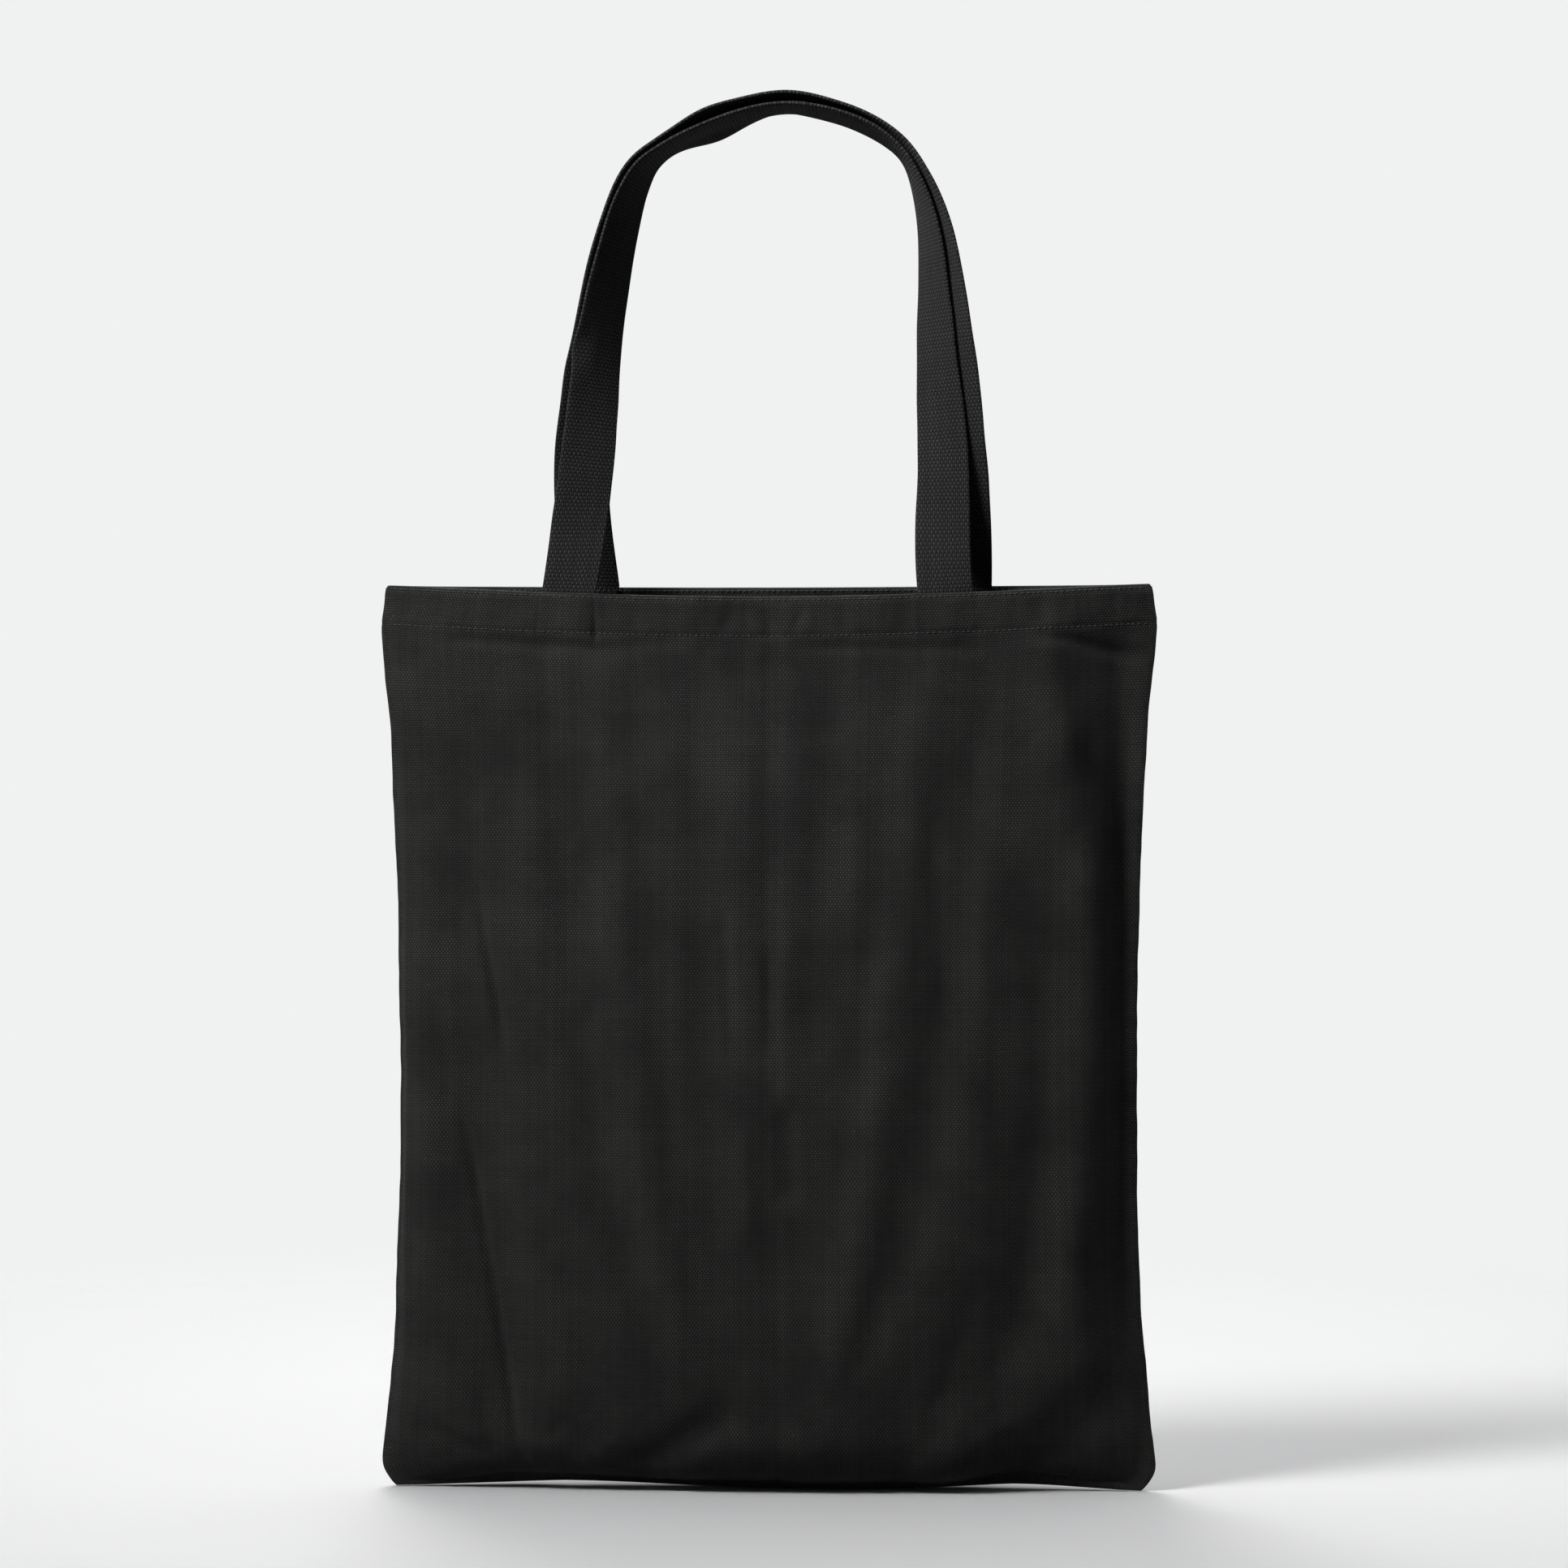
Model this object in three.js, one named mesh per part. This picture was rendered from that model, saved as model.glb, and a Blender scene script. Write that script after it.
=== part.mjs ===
// A canvas tote bag standing on a floor, lightly filled, with its two webbing handles up.
// Frame: millimetres, +Z up, +X to the right of the front panel, front panel facing -Y.
// The origin is on the floor, under the middle of the bag.
import * as THREE from 'three';

// ---- Driving dimensions ----
const CLOTH = 1.0;              // one layer of canvas
const GAP = 0.3;                // clearance that neighbouring pieces keep
const RIM_HEIGHT = 406;         // folded top edge above the floor
const HEM_DEPTH = 19;           // turned-in hem, from the rim down
const HEM_LAYERS = 2;           // the raw edge is turned under, so two layers lie inside
const WEBBING_WIDTH = 25;
const WEBBING_THICKNESS = 1.8;
const HANDLE_SPACING = 167;     // between the middles of a handle's two ends
const TAIL_LENGTH = 21;         // sewn end of a handle, below the rim
const ALLOWANCE = 10;           // width of the seam allowance inside the bag
const THREAD_RADIUS = 0.25;
const OVERLOCK_RADIUS = 0.5;

// ---- Derived dimensions ----
const SEAM_OFFSET = (CLOTH + GAP) / 2;      // middle of a panel's cloth to the plane of the seams
const HEM_THICKNESS = HEM_LAYERS * CLOTH;
const HEM_INSET = CLOTH / 2 + GAP + HEM_THICKNESS / 2;
const TAIL_INSET = HEM_INSET + HEM_THICKNESS / 2 + GAP + WEBBING_THICKNESS / 2;
const STITCH_INSET = -(CLOTH / 2 + GAP + THREAD_RADIUS);
const HALF_SPACING = HANDLE_SPACING / 2;

// The upright outline of one panel, from the bottom seam to the rim:
// half width, depth of the bulge in the middle, height of the cloth's middle surface.
const FLOOR_BAND = [[168, 0, CLOTH / 2], [168, 6, CLOTH / 2]];
const WALL = [
  [168, 9, CLOTH / 2], [170, 17.5, 2.2], [174.5, 24.5, 9], [173.5, 29, 20], [171, 33.5, 42],
  [168, 38.5, 80], [166, 41, 130], [165.5, 40, 190], [166.5, 36, 245], [168.5, 30, 300],
  [171, 24, 350], [175, 20, 386], [172.5, 20, RIM_HEIGHT],
];
const WALL_STEPS = 20;
const PANEL_COLUMNS = 24;
const BULGE_POWER = 2.4;        // how square the panel's cross-section is in the middle
const BULGE_EDGE = 0.85;        // how bluntly it meets the side seam

const PAIR_SHIFT = 3.8;         // the two handles are sewn this far to either side of true

// One handle's loop, up the left leg, over the top and down the right leg: x and height of the
// middle of the pair, turn of the webbing's face in degrees, distance between the front and the
// back handle, and how far each is slid along its own width, the front one the other way.
const LOOP = [
  [-HALF_SPACING, 406.5, 0, 27, PAIR_SHIFT], [-83.5, 455, 14, 15, 0.3], [-78, 510, 39, 4.6, 0],
  [-71.2, 552, 52, 3.6, 0], [-61, 588, 68, 3.2, 0], [-47.5, 605, 83, 3.2, 0],
  [-20, 618, 80, 4.6, 0], [8, 624.5, 82, 5.2, 0], [34, 620, 82, 3.8, 0],
  [54, 609.5, 81, 3, -0.2], [66.5, 594.5, 79, 3, -1.2], [75.5, 566, 65, 3.2, -3],
  [80, 515, 45, 3.4, -4.2], [83.5, 458, 19, 5.5, -3.4], [HALF_SPACING, 406.5, 0, 27, -PAIR_SHIFT],
];
const LOOP_STEPS = 56;
const BASE_TURN = 5.2;          // the webbing's base follows the curve of the rim, degrees
const BASE_TURN_HEIGHT = 45;    // and has lost that turn this far above the rim

// ---- Materials ----
const cloth = () => new THREE.MeshStandardMaterial({ color: 0x2b2b2a, roughness: 0.92, metalness: 0 });
const webbing = () => new THREE.MeshStandardMaterial({ color: 0x262626, roughness: 0.85, metalness: 0 });
const thread = () => new THREE.MeshStandardMaterial({ color: 0x3a3a39, roughness: 0.7, metalness: 0 });

// ---- Geometry helpers ----
const spread = (from, to, steps) => (
  Array.from({ length: steps + 1 }, (_, i) => from + ((to - from) * i) / steps));

// A closed sheet of the given thickness around a grid of points, rows by columns.
function sheet(grid, thickness) {
  const rows = grid.length;
  const columns = grid[0].length;
  const at = (r, c) => (
    grid[Math.min(Math.max(r, 0), rows - 1)][Math.min(Math.max(c, 0), columns - 1)]);
  const positions = [];
  for (const side of [0.5, -0.5]) {
    for (let r = 0; r < rows; r += 1) {
      for (let c = 0; c < columns; c += 1) {
        const along = at(r, c + 1).clone().sub(at(r, c - 1));
        const up = at(r + 1, c).clone().sub(at(r - 1, c));
        const normal = along.cross(up).normalize();
        positions.push(...at(r, c).clone().addScaledVector(normal, side * thickness).toArray());
      }
    }
  }
  const index = [];
  const layer = rows * columns;
  const quad = (a, b, c, d) => index.push(a, b, c, a, c, d);
  for (let r = 0; r < rows - 1; r += 1) {
    for (let c = 0; c < columns - 1; c += 1) {
      const a = r * columns + c;
      quad(a, a + 1, a + columns + 1, a + columns);
      quad(layer + a, layer + a + columns, layer + a + columns + 1, layer + a + 1);
    }
  }
  const border = [];
  for (let c = 0; c < columns; c += 1) border.push(c);
  for (let r = 1; r < rows; r += 1) border.push(r * columns + columns - 1);
  for (let c = columns - 2; c >= 0; c -= 1) border.push((rows - 1) * columns + c);
  for (let r = rows - 2; r > 0; r -= 1) border.push(r * columns);
  border.forEach((a, i) => {
    const b = border[(i + 1) % border.length];
    quad(a, layer + a, layer + b, b);
  });
  const geometry = new THREE.BufferGeometry();
  geometry.setAttribute('position', new THREE.Float32BufferAttribute(positions, 3));
  geometry.setIndex(index);
  geometry.computeVertexNormals();
  return geometry;
}

// A thread or cord of round section along a list of points.
function strand(points, radius) {
  const section = new THREE.Shape(new THREE.Path().absarc(0, 0, radius, 0, 2 * Math.PI).getPoints(3));
  return new THREE.ExtrudeGeometry(section, {
    extrudePath: new THREE.CatmullRomCurve3(points),
    steps: points.length - 1,
    bevelEnabled: false,
  });
}

// ---- The bag's shape ----
const wallCurve = new THREE.CatmullRomCurve3(WALL.map((row) => new THREE.Vector3(...row)));
const panelRows = [
  ...FLOOR_BAND.map((row) => new THREE.Vector3(...row)), ...wallCurve.getSpacedPoints(WALL_STEPS)];

// The outline at a height: the same curve, found by halving between its ends.
function outlineAt(height) {
  let low = 0;
  let high = 1;
  while (high - low > 1e-6) {
    const middle = (low + high) / 2;
    if (wallCurve.getPoint(middle).z < height) low = middle;
    else high = middle;
  }
  return wallCurve.getPoint(high);
}

const bulge = (u) => (Math.max(0, 1 - Math.abs(u) ** BULGE_POWER)) ** BULGE_EDGE;

// A point on a panel: u runs from -1 at the left seam to 1 at the right one, side is -1 for
// the front panel and 1 for the back one, and inset is measured inwards from the cloth's middle.
function onPanel(outline, u, side, inset = 0) {
  const depth = SEAM_OFFSET + outline.y * bulge(u) - inset;
  return new THREE.Vector3(u * outline.x, side * depth, outline.z);
}

// Columns run against x on the back panel, so that a sheet's faces always point out.
const across = (side, reach, steps) => spread(side * reach, -side * reach, steps);

function panelGrid(side) {
  return panelRows.map((outline) => (
    across(-side, 1, PANEL_COLUMNS).map((u) => onPanel(outline, u, side))));
}

function bandGrid(side, heights, us, inset) {
  return heights.map((height) => us.map((u) => onPanel(outlineAt(height), u, side, inset)));
}

// ---- The pieces ----
const SIDES = [['front', -1], ['back', 1]];
const ENDS = [['left', -1], ['right', 1]];
const HEM_REACH = 0.93;         // how near the hem and its stitches come to the side seams
const STITCH_REACH = 0.96;
const RIM_STITCH_DROP = 1.6;    // rim stitching below the rim
const HEM_STITCH_DROP = 18;     // hem stitching below the rim

const panel = (side) => sheet(panelGrid(side), CLOTH);

function hem(side) {
  const heights = [RIM_HEIGHT - HEM_DEPTH, RIM_HEIGHT - HEM_DEPTH / 2, RIM_HEIGHT - GAP];
  return sheet(bandGrid(side, heights, across(-side, HEM_REACH, PANEL_COLUMNS), HEM_INSET), HEM_THICKNESS);
}

function tail(side, end) {
  const heights = spread(RIM_HEIGHT - TAIL_LENGTH, RIM_HEIGHT, 3);
  const middle = end * HALF_SPACING + side * PAIR_SHIFT;
  const xs = spread(middle + (side * WEBBING_WIDTH) / 2, middle - (side * WEBBING_WIDTH) / 2, 2).reverse();
  const grid = heights.map((height) => {
    const outline = outlineAt(height);
    return xs.map((x) => onPanel(outline, x / outline.x, side, TAIL_INSET));
  });
  return sheet(grid, WEBBING_THICKNESS);
}

function stitchRow(side, drop) {
  const outline = outlineAt(RIM_HEIGHT - drop);
  const us = spread(-STITCH_REACH, STITCH_REACH, PANEL_COLUMNS);
  return strand(us.map((u) => onPanel(outline, u, side, STITCH_INSET)), THREAD_RADIUS);
}

// Side seams: the stitching runs just inside the seam, then comes the allowance, two layers
// thick, with the overlock thread along its raw edge.
const SEAM_STITCH_DEPTH = 2.5;
const ALLOWANCE_DEPTH = 4.8;
const SEAM_LOW = 8;
const SEAM_HIGH = RIM_HEIGHT - HEM_DEPTH - 1;
const seamHeights = spread(SEAM_LOW, SEAM_HIGH, 16);
const inSeam = (end, depth) => (height) => (
  new THREE.Vector3(end * (outlineAt(height).x - depth), 0, height));

function sideAllowance(end) {
  const grid = seamHeights.map((height) => (
    [ALLOWANCE_DEPTH, ALLOWANCE_DEPTH + ALLOWANCE].map((depth) => inSeam(end, depth)(height))));
  return sheet(end < 0 ? grid : grid.map((row) => row.reverse()), 2 * CLOTH);
}

const sideStitching = (end) => strand(seamHeights.map(inSeam(end, SEAM_STITCH_DEPTH)), THREAD_RADIUS);

const OVERLOCK_DEPTH = ALLOWANCE_DEPTH + ALLOWANCE + GAP + OVERLOCK_RADIUS;
const sideOverlock = (end) => strand(seamHeights.map(inSeam(end, OVERLOCK_DEPTH)), OVERLOCK_RADIUS);

// Bottom seam: the same three pieces, standing up along the middle of the floor of the bag.
const BOTTOM_REACH = 148;
const BOTTOM_STITCH_HEIGHT = 1.9;
const BOTTOM_ALLOWANCE_FOOT = 2.7;
const bottomLine = (height) => spread(-BOTTOM_REACH, BOTTOM_REACH, 12).map((x) => (
  new THREE.Vector3(x, 0, height)));
const bottomAllowance = () => (
  sheet([BOTTOM_ALLOWANCE_FOOT, BOTTOM_ALLOWANCE_FOOT + ALLOWANCE].map(bottomLine), 2 * CLOTH));
const bottomStitching = () => strand(bottomLine(BOTTOM_STITCH_HEIGHT), THREAD_RADIUS);
const bottomOverlock = () => (
  strand(bottomLine(BOTTOM_ALLOWANCE_FOOT + ALLOWANCE + GAP + OVERLOCK_RADIUS), OVERLOCK_RADIUS));

// ---- The handles ----
const loopPath = new THREE.CatmullRomCurve3(LOOP.map(([x, z]) => new THREE.Vector3(x, 0, z)));
const loopTurn = new THREE.CatmullRomCurve3(
  LOOP.map(([, , turn, apart, slide]) => new THREE.Vector3(turn, apart, slide)));

// The webbing is sewn flat to the rim; each leg turns until, over the top, its width lies
// front to back. The back handle lies outside the front one, a little further along the turn.
function handle(side) {
  const grid = spread(0, 1, LOOP_STEPS).map((t) => {
    const centre = loopPath.getPoint(t);
    const tangent = loopPath.getTangent(t);
    const { x: turn, y: apart, z: slide } = loopTurn.getPoint(t);
    const nearBase = Math.max(0, 1 - (centre.z - RIM_HEIGHT) / BASE_TURN_HEIGHT);
    const angle = THREE.MathUtils.degToRad(turn + side * BASE_TURN * nearBase);
    const inwards = new THREE.Vector3(tangent.z, 0, -tangent.x);
    const face = new THREE.Vector3(0, -Math.cos(angle), 0).addScaledVector(inwards, Math.sin(angle));
    const width = new THREE.Vector3().crossVectors(tangent, face);
    const middle = centre.addScaledVector(face, (-side * apart) / 2);
    middle.addScaledVector(width, side * slide);
    return spread(-0.5, 0.5, 2).map((w) => middle.clone().addScaledVector(width, w * WEBBING_WIDTH));
  });
  return sheet(grid, WEBBING_THICKNESS);
}

// ---- Assembly ----
const tote = new THREE.Group();

function add(name, geometry, material) {
  const mesh = new THREE.Mesh(geometry, material);
  mesh.name = name;
  tote.add(mesh);
}

for (const [name, side] of SIDES) {
  add(`${name}_panel`, panel(side), cloth());
  add(`${name}_hem`, hem(side), cloth());
  add(`${name}_handle`, handle(side), webbing());
  for (const [endName, end] of ENDS) {
    add(`${name}_handle_${endName}_end`, tail(side, end), webbing());
  }
  add(`${name}_rim_stitching`, stitchRow(side, RIM_STITCH_DROP), thread());
  add(`${name}_hem_stitching`, stitchRow(side, HEM_STITCH_DROP), thread());
}
for (const [name, end] of ENDS) {
  add(`${name}_seam_allowance`, sideAllowance(end), cloth());
  add(`${name}_seam_stitching`, sideStitching(end), thread());
  add(`${name}_seam_overlock`, sideOverlock(end), thread());
}
add('bottom_seam_allowance', bottomAllowance(), cloth());
add('bottom_seam_stitching', bottomStitching(), thread());
add('bottom_seam_overlock', bottomOverlock(), thread());

export default tote;
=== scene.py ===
"""Looks of a black canvas tote bag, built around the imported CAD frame. Metres, +Z up."""
import math

import bpy
import numpy as np
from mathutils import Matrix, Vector, noise


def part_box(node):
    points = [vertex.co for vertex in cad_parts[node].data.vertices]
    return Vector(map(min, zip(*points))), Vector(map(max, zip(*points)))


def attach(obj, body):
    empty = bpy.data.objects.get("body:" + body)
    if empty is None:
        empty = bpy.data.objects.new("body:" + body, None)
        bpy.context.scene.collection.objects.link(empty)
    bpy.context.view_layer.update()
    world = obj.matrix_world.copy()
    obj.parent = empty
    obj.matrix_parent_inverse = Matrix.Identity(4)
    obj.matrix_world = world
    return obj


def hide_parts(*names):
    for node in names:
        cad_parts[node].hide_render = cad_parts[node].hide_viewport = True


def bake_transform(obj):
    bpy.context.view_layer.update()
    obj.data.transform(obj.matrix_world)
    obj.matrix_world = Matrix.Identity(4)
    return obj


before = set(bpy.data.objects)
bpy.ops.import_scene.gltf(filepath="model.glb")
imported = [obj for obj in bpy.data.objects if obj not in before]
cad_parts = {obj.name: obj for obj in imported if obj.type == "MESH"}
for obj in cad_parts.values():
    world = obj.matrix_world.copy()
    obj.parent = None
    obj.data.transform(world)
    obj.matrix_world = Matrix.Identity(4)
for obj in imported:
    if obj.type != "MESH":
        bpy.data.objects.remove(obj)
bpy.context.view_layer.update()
MM = 0.001

# ---- Sizes taken from the frame ----
PANEL_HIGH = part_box("front_panel")[1]
HEM_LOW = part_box("front_hem")[0]
TAIL_LOW, TAIL_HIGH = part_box("front_handle_left_end")
RIM = PANEL_HIGH.z
HEM_DEPTH = RIM - HEM_LOW.z
TAIL_LENGTH = RIM - TAIL_LOW.z

# ---- Cloth and webbing ----
CANVAS = 0.8 * MM
FLAT_WIDTH = 350 * MM
WEBBING_WIDTH = 25 * MM
HALF_WEBBING = WEBBING_WIDTH / 2
WEBBING = 1.7 * MM
SEAM_LAYER = 0.41 * MM          # middle of a turned-in layer to the plane of the seam


def smooth(a, b, x):
    """0 below a, 1 above b, and an easy slope between them."""
    t = np.clip((np.asarray(x, float) - a) / (b - a), 0, 1)
    return t * t * (3 - 2 * t)


def bump(x, middle, width):
    return np.exp(-((np.asarray(x, float) - middle) / width) ** 2)


def wave(points, scale, seed):
    """Smooth noise from -1 to 1 at each point, with features of the given size in metres."""
    offset = Vector((seed * 7.31, seed * 3.17, seed * 5.53))
    flat = np.asarray(points, float).reshape(-1, 3)
    values = [noise.noise(Vector(p) / scale + offset) for p in flat]
    return np.array(values).reshape(np.asarray(points).shape[:-1])


def together(*parts):
    """Coordinates made of the parts, each spread to the shape of the largest."""
    return np.stack(np.broadcast_arrays(*parts), -1)


# ======== Shader nodes ========
class Graph:
    """Short names for the shader nodes that the materials are made of."""

    def __init__(self, name):
        self.material = bpy.data.materials.new(name)
        self.material.use_nodes = True
        self.nodes = self.material.node_tree.nodes
        self.links = self.material.node_tree.links
        self.shader = self.nodes["Principled BSDF"]

    def put(self, socket, value):
        if isinstance(value, bpy.types.NodeSocket):
            self.links.new(value, socket)
        else:
            socket.default_value = value

    def surface(self, socket, value):
        self.put(self.shader.inputs[socket], value)

    def math(self, operation, *values):
        node = self.nodes.new("ShaderNodeMath")
        node.operation = operation
        for socket, value in zip(node.inputs, values):
            self.put(socket, value)
        return node.outputs[0]

    def times(self, first, second):
        return self.math("MULTIPLY", first, second)

    def attribute(self, name):
        node = self.nodes.new("ShaderNodeAttribute")
        node.attribute_name = name
        return node

    def split(self, vector):
        node = self.nodes.new("ShaderNodeSeparateXYZ")
        self.put(node.inputs[0], vector)
        return node.outputs

    def join(self, x, y, z=0.0):
        node = self.nodes.new("ShaderNodeCombineXYZ")
        for socket, value in zip(node.inputs, (x, y, z)):
            self.put(socket, value)
        return node.outputs[0]

    def noise(self, vector, scale, detail=2.0, roughness=0.5):
        node = self.nodes.new("ShaderNodeTexNoise")
        self.put(node.inputs["Vector"], vector)
        node.inputs["Scale"].default_value = scale
        node.inputs["Detail"].default_value = detail
        node.inputs["Roughness"].default_value = roughness
        return node.outputs["Fac"]

    def random(self, vector):
        node = self.nodes.new("ShaderNodeTexWhiteNoise")
        node.noise_dimensions = "2D"
        self.put(node.inputs["Vector"], vector)
        return node.outputs["Value"]

    def ramp(self, value, low, high, to_low=0.0, to_high=1.0):
        node = self.nodes.new("ShaderNodeMapRange")
        node.interpolation_type = "SMOOTHSTEP"
        for socket, given in zip(node.inputs, (value, low, high, to_low, to_high)):
            self.put(socket, given)
        return node.outputs[0]

    def mix(self, share, first, second):
        node = self.nodes.new("ShaderNodeMix")
        node.data_type = "RGBA"
        self.put(node.inputs[0], share)
        self.put(node.inputs[6], (*first, 1) if isinstance(first, tuple) else first)
        self.put(node.inputs[7], (*second, 1) if isinstance(second, tuple) else second)
        return node.outputs[2]

    def brighten(self, colour, factor):
        node = self.nodes.new("ShaderNodeVectorMath")
        node.operation = "SCALE"
        self.put(node.inputs[0], colour)
        self.put(node.inputs["Scale"], factor)
        return node.outputs[0]

    def bump(self, height, distance, strength=1.0):
        node = self.nodes.new("ShaderNodeBump")
        node.inputs["Strength"].default_value = strength
        node.inputs["Distance"].default_value = distance
        self.put(node.inputs["Height"], height)
        return node.outputs[0]


# ======== Camera, light and floor ========
VIEW_AZIMUTH = math.radians(3.5)
VIEW_DISTANCE = 2.6
VIEW_HEIGHT = 0.318
VIEW_ASIDE = 0.0075
FRAME_SIDE = 0.708              # what the square picture covers at the bag
SENSOR = 36.0


def add_to_scene(thing):
    bpy.context.scene.collection.objects.link(thing)


def look_at(thing, target):
    direction = Vector(target) - thing.location
    thing.rotation_euler = direction.to_track_quat("-Z", "Y").to_euler()


def make_camera():
    camera = bpy.data.objects.new("camera", bpy.data.cameras.new("camera"))
    add_to_scene(camera)
    right = Vector((math.cos(VIEW_AZIMUTH), math.sin(VIEW_AZIMUTH), 0))
    back = Vector((math.sin(VIEW_AZIMUTH), -math.cos(VIEW_AZIMUTH), 0))
    target = right * VIEW_ASIDE + Vector((0, 0, VIEW_HEIGHT))
    camera.location = target + back * VIEW_DISTANCE
    look_at(camera, target)
    camera.data.sensor_width = SENSOR
    camera.data.lens = SENSOR * VIEW_DISTANCE / FRAME_SIDE
    bpy.context.scene.camera = camera


def area_light(name, place, target, size, power, spread=180):
    light = bpy.data.lights.new(name, "AREA")
    light.spread = math.radians(spread)
    light.shape = "DISK"
    light.size = size
    light.energy = power
    lamp = bpy.data.objects.new(name, light)
    add_to_scene(lamp)
    lamp.location = place
    look_at(lamp, target)


def make_light():
    area_light("key", (-1.5, -1.5, 2.2), (0.2, 0, 0.85), 1.3, 13.4, spread=62)
    area_light("top", (-0.2, 0.6, 2.4), (0, 0, 0.1), 1.8, 22)
    area_light("behind", (-0.6, 2.3, 1.7), (0, 0, 0.3), 1.4, 40)
    world = bpy.data.worlds.new("studio")
    bpy.context.scene.world = world
    world.use_nodes = True
    nodes = world.node_tree.nodes
    links = world.node_tree.links
    ambient = nodes["Background"]
    ambient.inputs["Color"].default_value = (0.95, 0.97, 1.0, 1)
    direction = nodes.new("ShaderNodeTexCoord")
    height = nodes.new("ShaderNodeSeparateXYZ")
    from_above = nodes.new("ShaderNodeMapRange")
    for name, value in (("From Min", -0.35), ("From Max", 1), ("To Min", 0.01), ("To Max", 0.2)):
        from_above.inputs[name].default_value = value
    links.new(direction.outputs["Generated"], height.inputs[0])
    links.new(height.outputs["Z"], from_above.inputs["Value"])
    links.new(from_above.outputs["Result"], ambient.inputs["Strength"])
    backdrop = nodes.new("ShaderNodeBackground")
    backdrop.inputs["Color"].default_value = (0.875, 0.88, 0.885, 1)
    path = nodes.new("ShaderNodeLightPath")
    mix = nodes.new("ShaderNodeMixShader")
    links.new(path.outputs["Is Camera Ray"], mix.inputs[0])
    links.new(ambient.outputs[0], mix.inputs[1])
    links.new(backdrop.outputs[0], mix.inputs[2])
    links.new(mix.outputs[0], nodes["World Output"].inputs["Surface"])
    bpy.context.scene.view_settings.view_transform = "Standard"


def make_floor():
    bpy.ops.mesh.primitive_circle_add(vertices=96, radius=4, fill_type="TRIFAN")
    floor = bpy.context.object
    floor.name = "floor"
    graph = Graph("studio_floor")
    graph.surface("Base Color", (0.74, 0.74, 0.745, 1))
    graph.surface("Roughness", 0.7)
    graph.surface("Specular IOR Level", 0.15)
    place = graph.nodes.new("ShaderNodeNewGeometry")
    distance = graph.nodes.new("ShaderNodeVectorMath")
    distance.operation = "LENGTH"
    graph.put(distance.inputs[0], place.outputs["Position"])
    graph.surface("Alpha", graph.ramp(distance.outputs["Value"], 0.45, 1.5, 1, 0))
    floor.data.materials.append(graph.material)
    floor.visible_diffuse = False


make_camera()
make_light()
make_floor()


# ======== Materials ========
def weave(graph, across, along, pitch_across, pitch_along):
    """A plain weave: its height from 0 to 1, a random value for the thread on top, and
    whether that is a warp thread."""
    u = graph.math("DIVIDE", across, pitch_across)
    v = graph.math("DIVIDE", along, pitch_along)
    column = graph.math("FLOOR", u)
    row = graph.math("FLOOR", v)
    warp_round = graph.math("ABSOLUTE", graph.math("SINE", graph.times(u, math.pi)))
    weft_round = graph.math("ABSOLUTE", graph.math("SINE", graph.times(v, math.pi)))
    warp_turn = graph.times(graph.math("ADD", v, column), math.pi)
    weft_turn = graph.times(graph.math("ADD", graph.math("ADD", u, row), 1.0), math.pi)
    warp_lift = graph.math("MULTIPLY_ADD", graph.math("SINE", warp_turn), 0.5, 0.5)
    weft_lift = graph.math("MULTIPLY_ADD", graph.math("SINE", weft_turn), 0.5, 0.5)
    warp_lift = graph.math("POWER", warp_lift, 1.6)
    warp = graph.times(warp_round, warp_lift)
    weft = graph.times(weft_round, weft_lift)
    height = graph.math("MAXIMUM", warp, weft)
    warp_random = graph.random(graph.join(column, 3.7))
    weft_random = graph.random(graph.join(row, 9.1))
    over = graph.math("GREATER_THAN", warp, weft)
    tone = graph.math("ADD",
                      graph.times(over, warp_random),
                      graph.times(graph.math("SUBTRACT", 1.0, over), weft_random))
    return height, tone, over


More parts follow.
